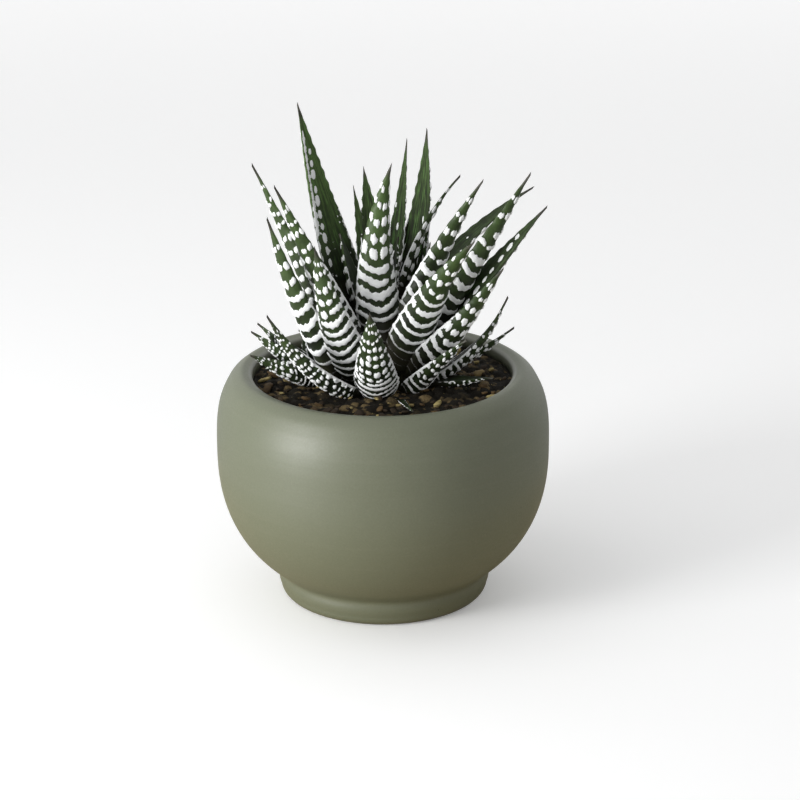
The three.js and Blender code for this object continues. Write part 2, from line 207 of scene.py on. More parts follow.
# Leaves of the main rosette from the outermost in, as in the solids: azimuth and rise are the way
# a leaf points in degrees, bow is how far it curls up, sizes are in mm, root is its height on the
# stem, look is its marking, at is the side of the stem it grows from, turn twists the blade, and
# place roots it in the soil.
Leaf = namedtuple(
    "Leaf", "name azimuth rise bow length width root look at turn place", defaults=(None, 0, None)
)
LEAVES = (
    Leaf("front", 265, 53.9, 14, 47, 15.5, 1, "front", at=264),
    Leaf("front_left_low", 212, 44.7, 34, 49.7, 13, 1, "pebbled", turn=10, place=(-8.5, -13.5)),
    Leaf("front_right_low", 323, 41.4, -6, 34.5, 12, 1, "low", at=306, turn=-10),
    Leaf("front_slip", 286, 5, 8, 20, 2.6, 1, "small", place=(5, -19)),
    Leaf("right_low", 350, 28.8, 23, 38, 11, 3, "low", at=8, turn=-14),
    Leaf("right_soil", 333, 9, 6, 30, 10, 3, "faint"),
    Leaf("right_outer", 346, 47.4, 42, 46.1, 11, 2, "low", at=341),
    Leaf("back_right_low", 55, 30, 10, 38, 12, 3, "low"),
    Leaf("back_low", 88, 34, 12, 44, 13, 4, "low"),
    Leaf("back_left_low", 120, 32, 10, 40, 12, 3, "low"),
    Leaf("left_back_low", 148, 24, 12, 24, 11, 3, "low"),
    Leaf("left_back_mid", 168, 52, 10, 27, 13, 7, "crescents"),
    Leaf("back_left_mid", 112, 40, 10, 48, 13, 9, "crescents"),
    Leaf("back_right_mid", 68, 40, 10, 46, 13, 8, "crescents"),
    Leaf("left_outer", 203, 65.8, 15, 69, 14.5, 2, "blocks", at=206, turn=20),
    Leaf("front_left", 225, 68.3, 18, 55.9, 15.5, 5, "tight", at=232, turn=26),
    Leaf("front_right", 311, 53.5, -23, 66.3, 15.5, 9, "swept", at=302, turn=-32),
    Leaf("right_banded", 325, 49.1, 10, 58.8, 14.5, 6, "bars", at=322, turn=-22),
    Leaf("right_long", 353, 50.5, -2, 73.9, 13.5, 9, "lined", at=336, turn=32),
    Leaf("back_right", 44, 46, 8, 38, 12, 11, "crescents"),
    Leaf("back", 78, 50, 8, 46, 12, 11, "crescents"),
    Leaf("back_left", 136, 48, 8, 44, 12, 10, "crescents"),
    Leaf("left_back", 166, 56, 8, 40, 12, 12, "dotted"),
    Leaf("left_long", 180, 65.1, -2, 78, 14, 8, "tubercles", turn=28),
    Leaf("left_inner", 204, 64, 0, 69.9, 14, 13, "tubercles", at=212, turn=24),
    Leaf("tallest", 152, 72.8, 6, 82.4, 16.5, 18, "edged", at=165, turn=-22),
    Leaf("centre_front", 330, 86.6, -33, 67.3, 16, 15, "chevrons", at=276, turn=-46),
    Leaf("right_broad", 346, 57.4, 3, 79.1, 15, 12, "blocks", at=344, turn=-30),
    Leaf("right_dark", 18, 42.1, -33, 68, 10.5, 20, "streaked", at=10, turn=14),
    Leaf("right_short", 336, 62.1, -12, 67, 12, 18, "blocks", at=328, turn=-34),
    Leaf("back_slim_left", 106, 55.4, -3, 50.4, 8, 20, "heart", at=110),
    Leaf("heart_back", 101, 49, 1, 56.1, 12, 24, "heart", at=84),
    Leaf("heart_right", 28, 58.8, -40, 54.3, 9, 24, "dotted", at=40, turn=-38),
    Leaf("heart_tall", 60, 72.3, 30, 67.7, 12.5, 22, "heart", at=18),
    Leaf("heart", 66, 69.8, 19, 60.1, 7.5, 25, "heart", at=85),
    Leaf("heart_left", 160, 70, 6, 30, 11, 24, "dotted"),
    Leaf("bud_front", 235, 82, 4, 26, 7, 28, "small", place=(-1.6, -0.6)),
    Leaf("bud_right", 20, 80, 4, 24, 7, 28, "small", place=(1.6, 0.8)),
    Leaf("bud_left", 150, 84, 2, 24, 7, 28.5, "small", place=(0, 0)),
)

OFFSET_LEAVES = (
    Leaf("west", 196, 21.9, 14, 25.8, 12.5, 4, "small", turn=42),
    Leaf("upper_west", 187, 34.7, 8, 27.9, 11.5, 5, "small", turn=34),
    Leaf("north_west", 172, 37, 8, 26.4, 11.5, 6, "small", turn=34),
    Leaf("back_west", 146, 30, 10, 21, 9, 5, "small"),
    Leaf("north", 110, 30, 14, 20, 8, 4, "small"),
    Leaf("top", 140, 62, 6, 12, 7, 7, "small"),
)


def length_setting(name, text, value):
    return FloatProperty(
        name=name, description=text, default=value, unit="LENGTH", subtype="DISTANCE"
    )


def colour_setting(name, text, *value):
    return FloatVectorProperty(
        name=name, description=text, default=value, size=3, subtype="COLOR", min=0, max=1
    )


def strength_setting(name, text, value):
    return FloatProperty(name=name, description=text, default=value, min=0)


def number_setting(name, text, value, least=0):
    return IntProperty(name=name, description=text, default=value, min=least)


class HAWORTHIA_PG_bowl(bpy.types.PropertyGroup):
    """Sizes and colours of the bowl."""

    radius: length_setting("Radius", "Radius of the bowl at its belly", 0.0585)
    belly_height: length_setting("Belly height", "Height of the widest place", 0.054)
    wall: length_setting("Wall", "Thickness of the wall", 0.005)
    glaze: colour_setting("Glaze", "Sage green of the glaze", 0.143, 0.157, 0.103)
    # Paler colour of the glaze at the lip's inner edge, faintly on its top and on the foot's ledge.
    worn: colour_setting("Thin glaze", "Paler colour at the lip and foot", 0.235, 0.24, 0.2)
    sides: number_setting("Sides", "Points round the bowl", 176, 24)


class HAWORTHIA_PG_leaves(bpy.types.PropertyGroup):
    """Relief and colours of the leaves."""

    band_height: length_setting("Band height", "How far the bands stand proud", 0.0005)
    row_spacing: length_setting("Row spacing", "Between rows of points along a leaf", 0.00036)
    # deep_green is the green in painted shade low in the rosette, and also the colour of the inner
    # faces' dark streaks; light_green is the green in the light.
    deep_green: colour_setting("Deep green", "Green low in the rosette", 0.01, 0.014, 0.006)
    light_green: colour_setting("Light green", "Green in the light", 0.08, 0.138, 0.038)
    band_white: colour_setting("Band white", "White of the bands and dots", 0.93, 0.94, 0.94)
    dry_tip: colour_setting("Dry tip", "Grey brown of the dried tips", 0.055, 0.052, 0.04)


class HAWORTHIA_PG_soil(bpy.types.PropertyGroup):
    """Sizes and colours of the potting mix."""

    height: length_setting("Height", "Height of the surface above the floor", 0.0784)
    crumbs: number_setting("Crumbs", "Crumbs on the surface", 1500)
    bits: number_setting("Bark bits", "Loose bits of bark", 190)
    dark: colour_setting("Dark", "Moist peat between the crumbs", 0.009, 0.0072, 0.004)
    crumb: colour_setting("Crumb", "Brown of the drier crumbs", 0.15, 0.108, 0.05)
    bark: colour_setting("Bark", "Tan of the lightest bark", 0.42, 0.34, 0.14)


class HAWORTHIA_PG_stage(bpy.types.PropertyGroup):
    """Floor and light."""

    floor: colour_setting("Floor", "Colour of the floor and its sweep", 0.97, 0.97, 0.97)
    near_bounce: colour_setting("Near bounce", "Light off the floor near by", 0.6, 0.5, 0.34)
    far_bounce: colour_setting("Far bounce", "Light off the floor further away", 0.62, 0.63, 0.64)
    side: strength_setting("Side light", "Strength of the broad low light", 3.1)
    top: strength_setting("Top light", "Strength of the higher light", 0.3)
    sky: strength_setting("Sky", "Strength of the even light from all round", 0.5)


def smooth(value, low, high):
    """Rises from 0 at low to 1 at high along an S-shaped curve."""
    share = np.clip((value - low) / (high - low), 0, 1)
    return share * share * (3 - 2 * share)


def tube_faces(rows, columns):
    """Faces between rows of points that each close on themselves, and fans to a pole before the
    first row and one after the last; the poles are the two points after the rows."""
    row, column = np.meshgrid(np.arange(rows - 1), np.arange(columns), indexing="ij")
    here = row * columns + column
    beside = row * columns + (column + 1) % columns
    quads = np.stack([here, beside, beside + columns, here + columns], -1).reshape(-1, 4)
    ring = np.arange(columns)
    beside = (ring + 1) % columns
    last = (rows - 1) * columns
    first_pole = rows * columns
    start = np.stack([beside, ring, np.full(columns, first_pole)], -1)
    end = np.stack([last + ring, last + beside, np.full(columns, first_pole + 1)], -1)
    return quads, np.concatenate([start, end])


def add_object(name, data):
    thing = bpy.data.objects.new(name, data)
    bpy.context.scene.collection.objects.link(thing)
    return thing


def add_surface(name, material, points, quads, triangles, values=None, skin=None):
    """Makes a smooth-shaded mesh object from points in mm, four-cornered and three-cornered faces,
    values that it keeps for each point, and a flat map of its skin."""
    mesh = bpy.data.meshes.new(name)
    mesh.vertices.add(len(points))
    places = (np.asarray(points, np.float64) * MM).astype(np.float32)
    mesh.vertices.foreach_set("co", places.ravel())
    corners = np.concatenate([quads.ravel(), triangles.ravel()]).astype(np.int32)
    starts = [np.arange(len(quads)) * 4, len(quads) * 4 + np.arange(len(triangles)) * 3]
    starts = np.concatenate(starts).astype(np.int32)
    mesh.loops.add(len(corners))
    mesh.loops.foreach_set("vertex_index", corners)
    mesh.polygons.add(len(starts))
    mesh.polygons.foreach_set("loop_start", starts)
    mesh.polygons.foreach_set("use_smooth", np.ones(len(starts), bool))
    mesh.update(calc_edges=True)
    for key, column in (values or {}).items():
        attribute = mesh.attributes.new(key, "FLOAT", "POINT")
        attribute.data.foreach_set("value", np.asarray(column, np.float32).ravel())
    if skin is not None:
        layer = mesh.uv_layers.new(name="skin")
        layer.data.foreach_set("uv", skin.astype(np.float32)[corners].ravel())
    if mesh.validate():
        raise RuntimeError(f"the surface of {name} has faulty faces")
    mesh.materials.append(material)
    return add_object(name, mesh)


def add_piece(name, material, shape, slot, *nodes):
    """A piece rides on the body, has its material, and stands for its solids."""
    piece = add_surface(name, material, *shape)
    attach(piece, "root")
    if nodes:
        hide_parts(*nodes)


# Node trees


class Tree:
    """Adds nodes to a tree and joins them with few words."""

    def __init__(self, tree):
        self.tree = tree

    def put(self, socket, value):
        if isinstance(value, bpy.types.NodeSocket):
            self.tree.links.new(value, socket)
        elif socket.type == "RGBA" and len(value) == 3:
            socket.default_value = (*value, 1)
        else:
            socket.default_value = value

    def node(self, kind, settings=None, **inputs):
        node = self.tree.nodes.new(kind)
        for key, value in (settings or {}).items():
            setattr(node, key, value)
        for key, value in inputs.items():
            self.put(node.inputs[key.replace("_", " ")], value)
        return node

    def filled(self, kind, settings, *values):
        """A node whose first inputs get these values in turn."""
        node = self.node(kind, settings)
        for socket, value in zip(node.inputs, values):
            self.put(socket, value)
        return node.outputs

    def maths(self, operation, first, second=0.0):
        return self.filled("ShaderNodeMath", {"operation": operation}, first, second)[0]

    def times(self, first, second):
        return self.maths("MULTIPLY", first, second)

    def plus(self, first, second):
        return self.maths("ADD", first, second)

    def length(self, vector):
        return self.filled("ShaderNodeVectorMath", {"operation": "LENGTH"}, vector)["Value"]

    def part(self, vector, number):
        return self.node("ShaderNodeSeparateXYZ", Vector=vector).outputs[number]

    def span(self, value, low, high, to_low=0.0, to_high=1.0, kind="SMOOTHSTEP"):
        """Takes a value from one range to another and holds it there."""
        settings = {"interpolation_type": kind}
        return self.filled("ShaderNodeMapRange", settings, value, low, high, to_low, to_high)[0]

    def mix(self, factor, first, second):
        """Mixes two colours."""
        node = self.node("ShaderNodeMix", {"data_type": "RGBA"})
        for socket, value in ((0, factor), (6, first), (7, second)):
            self.put(node.inputs[socket], value)
        return node.outputs[2]

    def layered(self, colour, *layers):
        """Lays colours over one another, each through its mask."""
        for mask, tint in layers:
            colour = self.mix(mask, colour, tint)
        return colour

    def noise(self, place, scale, detail=2.0, roughness=0.5):
        return self.node(
            "ShaderNodeTexNoise", Vector=place, Scale=scale, Detail=detail, Roughness=roughness
        ).outputs["Fac"]

    def stretched(self, place, scale):
        return self.node("ShaderNodeMapping", Vector=place, Scale=scale).outputs[0]

    def stored(self, name):
        return self.node("ShaderNodeAttribute", {"attribute_name": name}).outputs["Fac"]


class Finish(Tree):
    """Tree of a new material, with its shader and the place on the object that its colours read."""

    def __init__(self, name, roughness, specular, coat=0.0):
        self.material = bpy.data.materials.new(name)
        self.material.use_nodes = True
        super().__init__(self.material.node_tree)
        self.shader = self.tree.nodes["Principled BSDF"]
        self.feed(Roughness=roughness, Specular_IOR_Level=specular, Coat_Weight=coat)
        self.place = self.node("ShaderNodeTexCoord").outputs["Object"]

    def feed(self, **inputs):
        for key, value in inputs.items():
            self.put(self.shader.inputs[key.replace("_", " ")], value)

    def done(self, colour, height, strength, distance):
        """Puts in the colour and a bump from a height, and gives the material."""
        bump = self.node("ShaderNodeBump", Strength=strength, Distance=distance, Height=height)
        self.feed(Base_Color=colour, Normal=bump.outputs[0])
        return self.material


def speckle_group():
    """Node group: a fine even grain and sparse round specks at a given size."""
    if "Speckle" in bpy.data.node_groups:
        return bpy.data.node_groups["Speckle"]
    group = bpy.data.node_groups.new("Speckle", "ShaderNodeTree")
    for way, kind, *names in (
        ("INPUT", "Vector", "Place"),
        ("INPUT", "Float", "Grain Scale", "Speck Scale", "Speck Share"),
        ("OUTPUT", "Float", "Grain", "Specks"),
    ):
        for name in names:
            group.interface.new_socket(name, in_out=way, socket_type=f"NodeSocket{kind}")
    tree = Tree(group)
    given = group.nodes.new("NodeGroupInput").outputs
    result = group.nodes.new("NodeGroupOutput").inputs
    tree.put(result["Grain"], tree.noise(given["Place"], given["Grain Scale"], 3.0, 0.65))
    cells = tree.node("ShaderNodeTexVoronoi", Vector=given["Place"], Scale=given["Speck Scale"])
    chance = tree.node("ShaderNodeSeparateColor", Color=cells.outputs["Color"]).outputs[0]
    chosen = tree.maths("LESS_THAN", chance, given["Speck Share"])
    size = tree.span(chance, 0.0, given["Speck Share"], 0.06, 0.16, "LINEAR")
    near = tree.maths("LESS_THAN", cells.outputs["Distance"], size)
    tree.put(result["Specks"], tree.times(chosen, near))
    return group


def speckle(tree, grain_scale, speck_scale, speck_share):
    return tree.filled(
        "ShaderNodeGroup", {"node_tree": speckle_group()},
        tree.place, grain_scale, speck_scale, speck_share,
    )


# Leaves


def leaf_material(settings):
    """Green skin with white raised bands and dots, from the values kept at each leaf's points."""
    tree = Finish("leaf_skin", 0.46, 0.28)
    skin = tree.node("ShaderNodeUVMap", {"uv_map": "skin"}).outputs[0]
    band, tone, along, inner, root = map(tree.stored, ("band", "tone", "along", "inner", "root"))
    blotch = tree.noise(tree.place, 260.0, 3.0)
    fine = tree.noise(tree.place, 1700.0, 2.0)
    streaks = tree.noise(tree.stretched(skin, (13.0, 4.0, 1.0)), 1.0, 3.0, 0.6)
    lightness = tree.plus(tone, tree.span(blotch, 0.3, 0.7, -0.16, 0.16, "LINEAR"))
    pale = tree.times(tree.span(streaks, 0.54, 0.68), inner)
    dark = tree.times(tree.span(streaks, 0.52, 0.4), inner)
    ragged = tree.plus(along, tree.span(blotch, 0, 1, -0.02, 0.02))
    chalk = tree.span(fine, 0.3, 0.75, 0.0, 0.2)
    edge = tree.plus(band, tree.span(fine, 0.3, 0.7, -0.16, 0.16))
    marked = tree.span(edge, 0.0, 0.14)
    # The green runs from deep_green to light_green with the tone: painted shade low on each leaf
    # and on the leaves that lie low or deep in the rosette.
    colour = tree.layered(
        settings.deep_green,
        (lightness, settings.light_green),
        (tree.times(pale, 0.7), (0.11, 0.25, 0.06)),
        (tree.times(dark, 0.75), settings.deep_green),
        (tree.span(fine, 0.45, 0.8, 0.0, 0.22), (0.012, 0.02, 0.01)),
        (tree.span(ragged, 0.9, 0.975), settings.dry_tip),
        (marked, tree.mix(chalk, settings.band_white, (0.68, 0.71, 0.68))),
        # Painted shade over dry old bases: dark brown low on each leaf.
        (tree.times(root, 0.86), (0.016, 0.014, 0.008)),
    )
    rough = tree.span(marked, 0, 1, 0.46, 0.58, "LINEAR")
    tree.feed(Roughness=tree.plus(rough, tree.times(inner, 0.3)))
    return tree.done(colour, tree.plus(tree.times(fine, 0.5), blotch), 0.25, 0.0003)


def width_share(t):
    """Share of the full width along a leaf: it swells from the root and tapers to the tip."""
    swell = ROOT_SHARE + (1 - ROOT_SHARE) * np.sin(np.minimum(t / WIDEST_AT, 1) * np.pi / 2)
    return swell * (1 - t**TAPER_POWER)


def root_place(leaf, stem):
    """Where a leaf leaves its stem: just off the stem's cone at the height of the leaf's root."""
    if leaf.place is not None:
        return leaf.place
    angle = math.radians(leaf.azimuth if leaf.at is None else leaf.at)
    share = min(leaf.root / stem.rise, 1)
    radius = stem.foot + (stem.top - stem.foot) * share + stem.stand
    return (stem.place[0] + radius * math.cos(angle), stem.place[1] + radius * math.sin(angle))


def leaf_run(leaf, stem, rows, ground):
    """Line along the middle of a leaf's inner face, with the ways along it, across it and inwards
    at each row. The climb changes evenly from root to tip, and the line is its running sum."""
    share = np.linspace(0, 1, rows)
    heading = math.radians(leaf.azimuth)
    steps = 2 * round(leaf.length / RING_PITCH)

    def way(at):
        climb = np.radians(leaf.rise + leaf.bow * (at - 0.5))
        flat = np.cos(climb)
        return np.stack([flat * math.cos(heading), flat * math.sin(heading), np.sin(climb)], -1)

    along = way(share)
    level = np.array([-math.sin(heading), math.cos(heading), 0.0])
    turn = math.radians(leaf.turn)
    side = level * math.cos(turn) + np.cross(along, level) * math.sin(turn)
    inward = np.cross(along, side)
    middles = (share[1:] + share[:-1]) / 2 - 0.5 / steps
    moves = way(middles) * (leaf.length * TIP_SHARE / (rows - 1))
    start = np.array([*root_place(leaf, stem), ground + leaf.root])
    line = np.concatenate([start[None], start + np.cumsum(moves, 0)])
    tip = line[-1] + along[-1] * leaf.length * (1 - TIP_SHARE)
    return share, line, along, side, inward, tip


# The points of a leaf's grid: share of the way along, distance along in mm, place across and round
# the face from -1 to 1, and half the width there in mm.
Grid = namedtuple("Grid", "share distance across arc half")


def marks(look, at, length, seed):
    """How far inside a white mark each point is: above 0 within a band or oval, 1 at its middle.
    Bands are crescents: a curve of equal distance along the leaf whose ends run on towards the tip.
    Each is crossed by gaps that are open in the lower part of the leaf and cut through further up,
    and a stretch between two cuts is an oval."""
    draws = np.random.default_rng(seed)
    cells = (MOST_BANDS, look.columns)
    wide = draws.uniform(*BAND_WIDTHS, MOST_BANDS)
    lean = draws.uniform(-BAND_LEAN, BAND_LEAN, MOST_BANDS)
    aslant = draws.uniform(-CUT_SHIFT, CUT_SHIFT, MOST_BANDS)
    chance = draws.random((MOST_BANDS, look.columns + 1))
    slip = draws.uniform(-OVAL_SLIP, OVAL_SLIP, cells)
    size = draws.uniform(*OVAL_SIZES, cells)
    lost = draws.random(cells) < OVALS_LOST
    high, across, along = SLOW_WAVE
    wander = high * np.sin(across * at.arc + at.distance * along + seed)
    high, across, along = QUICK_WAVE
    wander = wander + high * np.sin(across * at.arc - at.distance * along)
    run = at.distance - look.curl * at.half * np.abs(at.across) ** look.bend + wander
    run = run - OVAL_STRETCH * np.maximum(run - look.broken * length, 0)
    worn = np.exp(-np.maximum(run, 0) / (CROWDING_REACH * length))
    run = run + ROOT_CROWDING * length * (1 - worn)
    band = np.clip(np.round(run / look.pitch).astype(int), 0, MOST_BANDS - 1)
    off = run - band * look.pitch - lean[band] * at.across
    reach = look.pitch * look.share / 2 * wide[band] * (0.7 + 0.3 * smooth(at.share, *MARKS_GROW))
    reach = reach * (1 - 0.3 * smooth(at.share, *MARKS_SHRINK))

    place = (at.arc + 1) * look.columns / 2 + aslant[band]
    place = np.clip(place, 0.001, look.columns - 0.001)
    cell = place.astype(int)
    beads = np.cos(2 * np.pi * BEADS * (place + 3 * lean[band]))
    reach = reach * (1 + BEAD_SWELL * beads * (1 + lean[band]))
    spacing = ARC_SHARE * at.half / look.columns
    aside = (place - cell - 0.5) * spacing
    whole, parted = (look.broken + shift for shift in BREAKING)
    broken = smooth(band * look.pitch / length, whole, parted)
    cut_before, cut_after = chance[band, cell] < broken, chance[band, cell + 1] < broken
    alone = cut_before & cut_after
    cut = np.where(aside < 0, cut_before, cut_after)
    off = np.where(alone, (off + slip[band, cell]) / (OVAL_LENGTH * size[band, cell]), off)
    lateral = np.where(cut, np.abs(aside / (OVAL_WIDTH * spacing)) ** OVAL_POWER, 0)
    field = 1 - (off / reach) ** 2 - lateral
    field = np.where(alone & lost[band, cell], -1.0, field)
    return field - 2.5 * smooth(at.share, *MARKS_END)


def inner_dots(look, at, seed):
    """Small pale dots or dashes low on a leaf's inner face, in rows along it, some left out."""
    draws = np.random.default_rng(seed + DOT_SEED)
    rows, columns = DOT_GRID
    present = draws.random(DOT_GRID)
    shift = draws.uniform(-0.5, 0.5, columns)
    spacing = np.maximum(2 * at.half / DOT_COLUMNS, LEAST_COLUMN)
    column = np.clip(np.round(at.arc * at.half / spacing), -7, 7).astype(int)
    aside = at.arc * at.half - column * spacing
    pitch = 1.7 + look.dash * 2
    place = at.distance / pitch + shift[column % columns]
    row = np.clip(np.floor(place + 0.5).astype(int), 0, rows - 1)
    off = (place - row) * pitch
    field = 1 - (off / (0.25 + look.dash * 0.75)) ** 2 - (aside / DOT_HALF) ** 2
    kept = present[row, column % columns] < look.inner * (1 - at.share / DOTS_END)
    return np.where(kept, field, -1.0)


def edge_marks(look, at, from_edge, seed):
    """A white line along one margin of the inner face and a row of ovals beside it."""
    draws = np.random.default_rng(seed + EDGE_SEED)
    slip = draws.uniform(-EDGE_SLIP, EDGE_SLIP, MOST_BANDS)
    size = draws.uniform(*OVAL_SIZES, MOST_BANDS)
    row = np.clip(np.round(at.distance / look.pitch).astype(int), 0, MOST_BANDS - 1)
    off = (at.distance - row * look.pitch + slip[row]) / (EDGE_OVAL[1] * size[row])
    ovals = 1 - off**2 - np.abs((from_edge - EDGE_ROW) / (EDGE_OVAL[0] * size[row])) ** 2.4
    ovals = ovals - 3 * smooth(at.share, 0.78, 0.88)
    swell = 1 + 0.35 * np.sin(at.distance * 1.9 + seed) + 0.2 * np.sin(at.distance * 4.3)
    line = 1 - ((from_edge - EDGE_IN) / (EDGE_LINE * swell)) ** 2 - 3 * smooth(at.share, 0.86, 0.94)
    line = line - 3 * (1 - smooth(at.share, 0.36, 0.5)) if look.edge > 0 else line - 3
    return np.maximum(ovals, line) - 2 * (1 - smooth(at.share, 0.18, 0.3))


def leaf_surface(leaf, stem, ground, settings, seed):
    """Skin of a leaf as a grid: along its run, and round a section whose outer face is half of an
    oval and whose inner face is a shallow channel. The marks stand proud of it.
    Returns points, faces, kept values and the flat map of the skin."""
    rows = max(int(leaf.length / (settings.row_spacing / MM)), LEAST_ROWS)
    look = LOOKS[leaf.look]
    share, line, along, side, inward, tip = leaf_run(leaf, stem, rows, ground)
    half = (leaf.width / 2 * width_share(share * TIP_SHARE))[:, None]
    thick = np.clip(2 * half * THICKNESS_SHARE, LEAST_THICK, MOST_THICK)
    share = share[:, None]

    angle = np.linspace(0, np.pi, OUTER_POINTS)
    inner_across = np.linspace(-1, 1, INNER_POINTS + 2)[1:-1]
    across = np.concatenate([np.cos(angle), inner_across])
    deep = np.concatenate([np.sin(angle), np.zeros(INNER_POINTS)])
    inner = np.concatenate([np.zeros(OUTER_POINTS, bool), np.ones(INNER_POINTS, bool)])
    arc = np.concatenate([1 - 2 * angle / np.pi, inner_across])

    x = half * across
    y = -thick * deep - CHANNEL_SHARE * half * (1 - across**2) * inner
    bent = [np.abs(across) ** power for power in CHEVRON_POWERS]
    lead = CHEVRON_SHARE * half * np.where(inner, bent[0], 2 * bent[1] - 1)
    lead = lead * smooth(share, *CHEVRON_STARTS)
    distance = share * leaf.length + lead
    at = Grid(*(np.broadcast_to(v, x.shape) for v in (share, distance, across, arc, half)))

    outer_marks = marks(look, at, leaf.length, seed)
    to_margin = (1 - np.abs(at.across)) * at.half
    line_marks = 1 - (to_margin / (0.22 * look.line * np.where(inner, 0.6, 1))) ** 2
    waves = 0.5 + 0.5 * np.cos(2 * np.pi * distance / look.pitch + seed)
    line_marks = line_marks - 0.8 * waves - 3 * smooth(at.share, 0.45, 0.75)
    inner_marks = inner_dots(look, at, seed)
    outside = ~inner
    if look.edge:
        to_edge = at.across * math.copysign(1, look.edge)
        edging = edge_marks(look, at, (1 - to_edge) * at.half, seed)
        inner_marks = np.maximum(inner_marks, edging)
        outer_marks = outer_marks - 3 * smooth(to_edge, 0.6, 0.75) * smooth(at.share, 0.3, 0.4)
        outside = outside | (to_edge > 1 - 2 * abs(look.edge))
    field = np.maximum(np.where(inner, inner_marks, outer_marks), line_marks)
    # Low on a leaf the marks fade and, in the skin, the colour darkens: painted shade of the
    # rosette's heart over its dry old bases.
    root_shade = 1 - smooth(at.share, look.bare * 0.5, look.bare * 1.4)
    field = field - 1.2 * (1 - smooth(at.share, 0, 0.04)) - 0.8 * root_shade

    height = settings.band_height / MM * np.where(inner, INNER_RELIEF, 1.0)
    raised = height * smooth(field, *RELIEF_SPAN) * np.minimum(at.half / RELIEF_FULL, 1)
    crenate = MARGIN_WAVE * np.minimum(at.half / WAVE_FULL, 1) * waves * np.abs(at.across) ** 5
    normal_x = np.where(inner, 0, at.across / at.half)
    normal_y = np.where(inner, 1 / at.half, -deep / thick)
    size = np.maximum(np.hypot(normal_x, normal_y), 1e-6)
    bulge = (crenate - MARGIN_WAVE / 3) * np.sign(at.across)
    bulge = bulge * smooth(np.abs(at.across), *WAVE_ACROSS) * smooth(at.share, *WAVE_ALONG)
    x = x + raised * normal_x / size + bulge
    y = y + raised * normal_y / size
    points = line[:, None, :] + x[..., None] * side[:, None, :]
    points = points + y[..., None] * inward[:, None, :] + lead[..., None] * along[:, None, :]
    root = line[0] - inward[0] * thick[0] / 2
    points = np.concatenate([points.reshape(-1, 3), root[None], tip[None]])

    shade = np.random.default_rng(seed + SHADE_SEED).uniform(*LEAF_SHADES)
    # Painted shade: the green darkens towards the root, low in the rosette.
    tone = look.tone * shade * (ROOT_SHADE_TONE + (1 - ROOT_SHADE_TONE) * smooth(at.share, *ROOT_SHADE_SPAN))
    lit = INNER_TONE + (1 - INNER_TONE) * smooth(look.streak, 0.4, 0.9)
    values = {
        "band": np.append(field, [-1, -1]),
        "tone": np.append(tone * np.where(outside, 1.0, lit), [0, 0]),
        "along": np.append(at.share, [0, 1]),
        "inner": np.append(np.where(outside, 0, look.streak + 0 * x), [0, 0]),
        "root": np.append(root_shade, [1, 0]),
    }
    skin = np.stack([at.arc.ravel() * 0.5 + 0.5, distance.ravel() / SKIN_LENGTH + seed], -1)
    ends = [[0.5, seed], [0.5, seed + leaf.length / SKIN_LENGTH]]
    return points, *tube_faces(rows, len(across)), values, np.concatenate([skin, ends])


def joined(parts):
    """One mesh from several: points and values end to end, with the faces' numbers moved along."""
    points, quads, triangles, values, skins = zip(*parts)
    shifts = np.cumsum([0] + [len(part) for part in points[:-1]])
    return (
        np.concatenate(points),
        *(np.concatenate([f + n for f, n in zip(faces, shifts)]) for faces in (quads, triangles)),
        {key: np.concatenate([value[key] for value in values]) for key in values[0]},
        np.concatenate(skins),
    )


# Stems


def stem_surface(stem, ground, grow=0.0):
    """A cone wrapped in the dry bases of old leaves: its radius swells in slanting folds, a sine of
    the angle and the height together."""
    rows, columns = STEM_GRID
    share = np.linspace(0, 1, rows)[:, None]
    angle = np.linspace(0, 2 * np.pi, columns, endpoint=False)[None]
    radius = stem.foot + (stem.top - stem.foot) * share + grow
    folds = 0.35 * np.abs(np.sin(2.5 * angle + 7 * share)) + 0.25 * np.sin(share * 40) ** 2
    radius = radius - 0.5 + folds * np.minimum(stem.foot / 8, 1)
    z = ground - STEM_ROOT + share * (STEM_ROOT + stem.rise) + 0 * angle
    x = stem.place[0] + radius * np.cos(angle)
    y = stem.place[1] + radius * np.sin(angle)
    ends = np.array([[*stem.place, z[0, 0]], [*stem.place, z[-1, 0]]])
    points = np.concatenate([np.stack([x, y, z], -1).reshape(-1, 3), ends])
    everywhere = np.zeros(len(points))
    values = {
        "band": everywhere - 1,
        "tone": np.append(0.3 + 0.4 * folds, [0, 0]),
        "along": everywhere,
        "inner": everywhere,
        # Half the leaves' painted root shade, for the offset's stem, which wears the leaves' skin.
        "root": everywhere + 0.5,
    }
    skin = np.stack([(angle / (2 * np.pi) + 0 * share).ravel(), (share + 0 * angle).ravel()], -1)
    return points, *tube_faces(rows, columns), values, np.concatenate([skin, [[0, 0], [0, 1]]])


def stem_material():
    """Dull green and brown of dried leaf bases, kept dark as painted shade of the rosette's heart.
    """
    tree = Finish("dry_bases", 0.75, 0.3)
    patches = tree.noise(tree.place, 180.0, 4.0, 0.6)
    fibres = tree.noise(tree.stretched(tree.place, (900.0, 900.0, 90.0)), 1.0, 2.0)
    colour = tree.layered(
        (0.03, 0.04, 0.015),
        (tree.span(patches, 0.35, 0.65), (0.1, 0.07, 0.035)),
        (tree.span(fibres, 0.4, 0.7, 0.0, 0.5), (0.02, 0.016, 0.01)),
    )
    return tree.done(colour, fibres, 0.5, 0.0004)


# Bowl: sizes in mm, angles in degrees

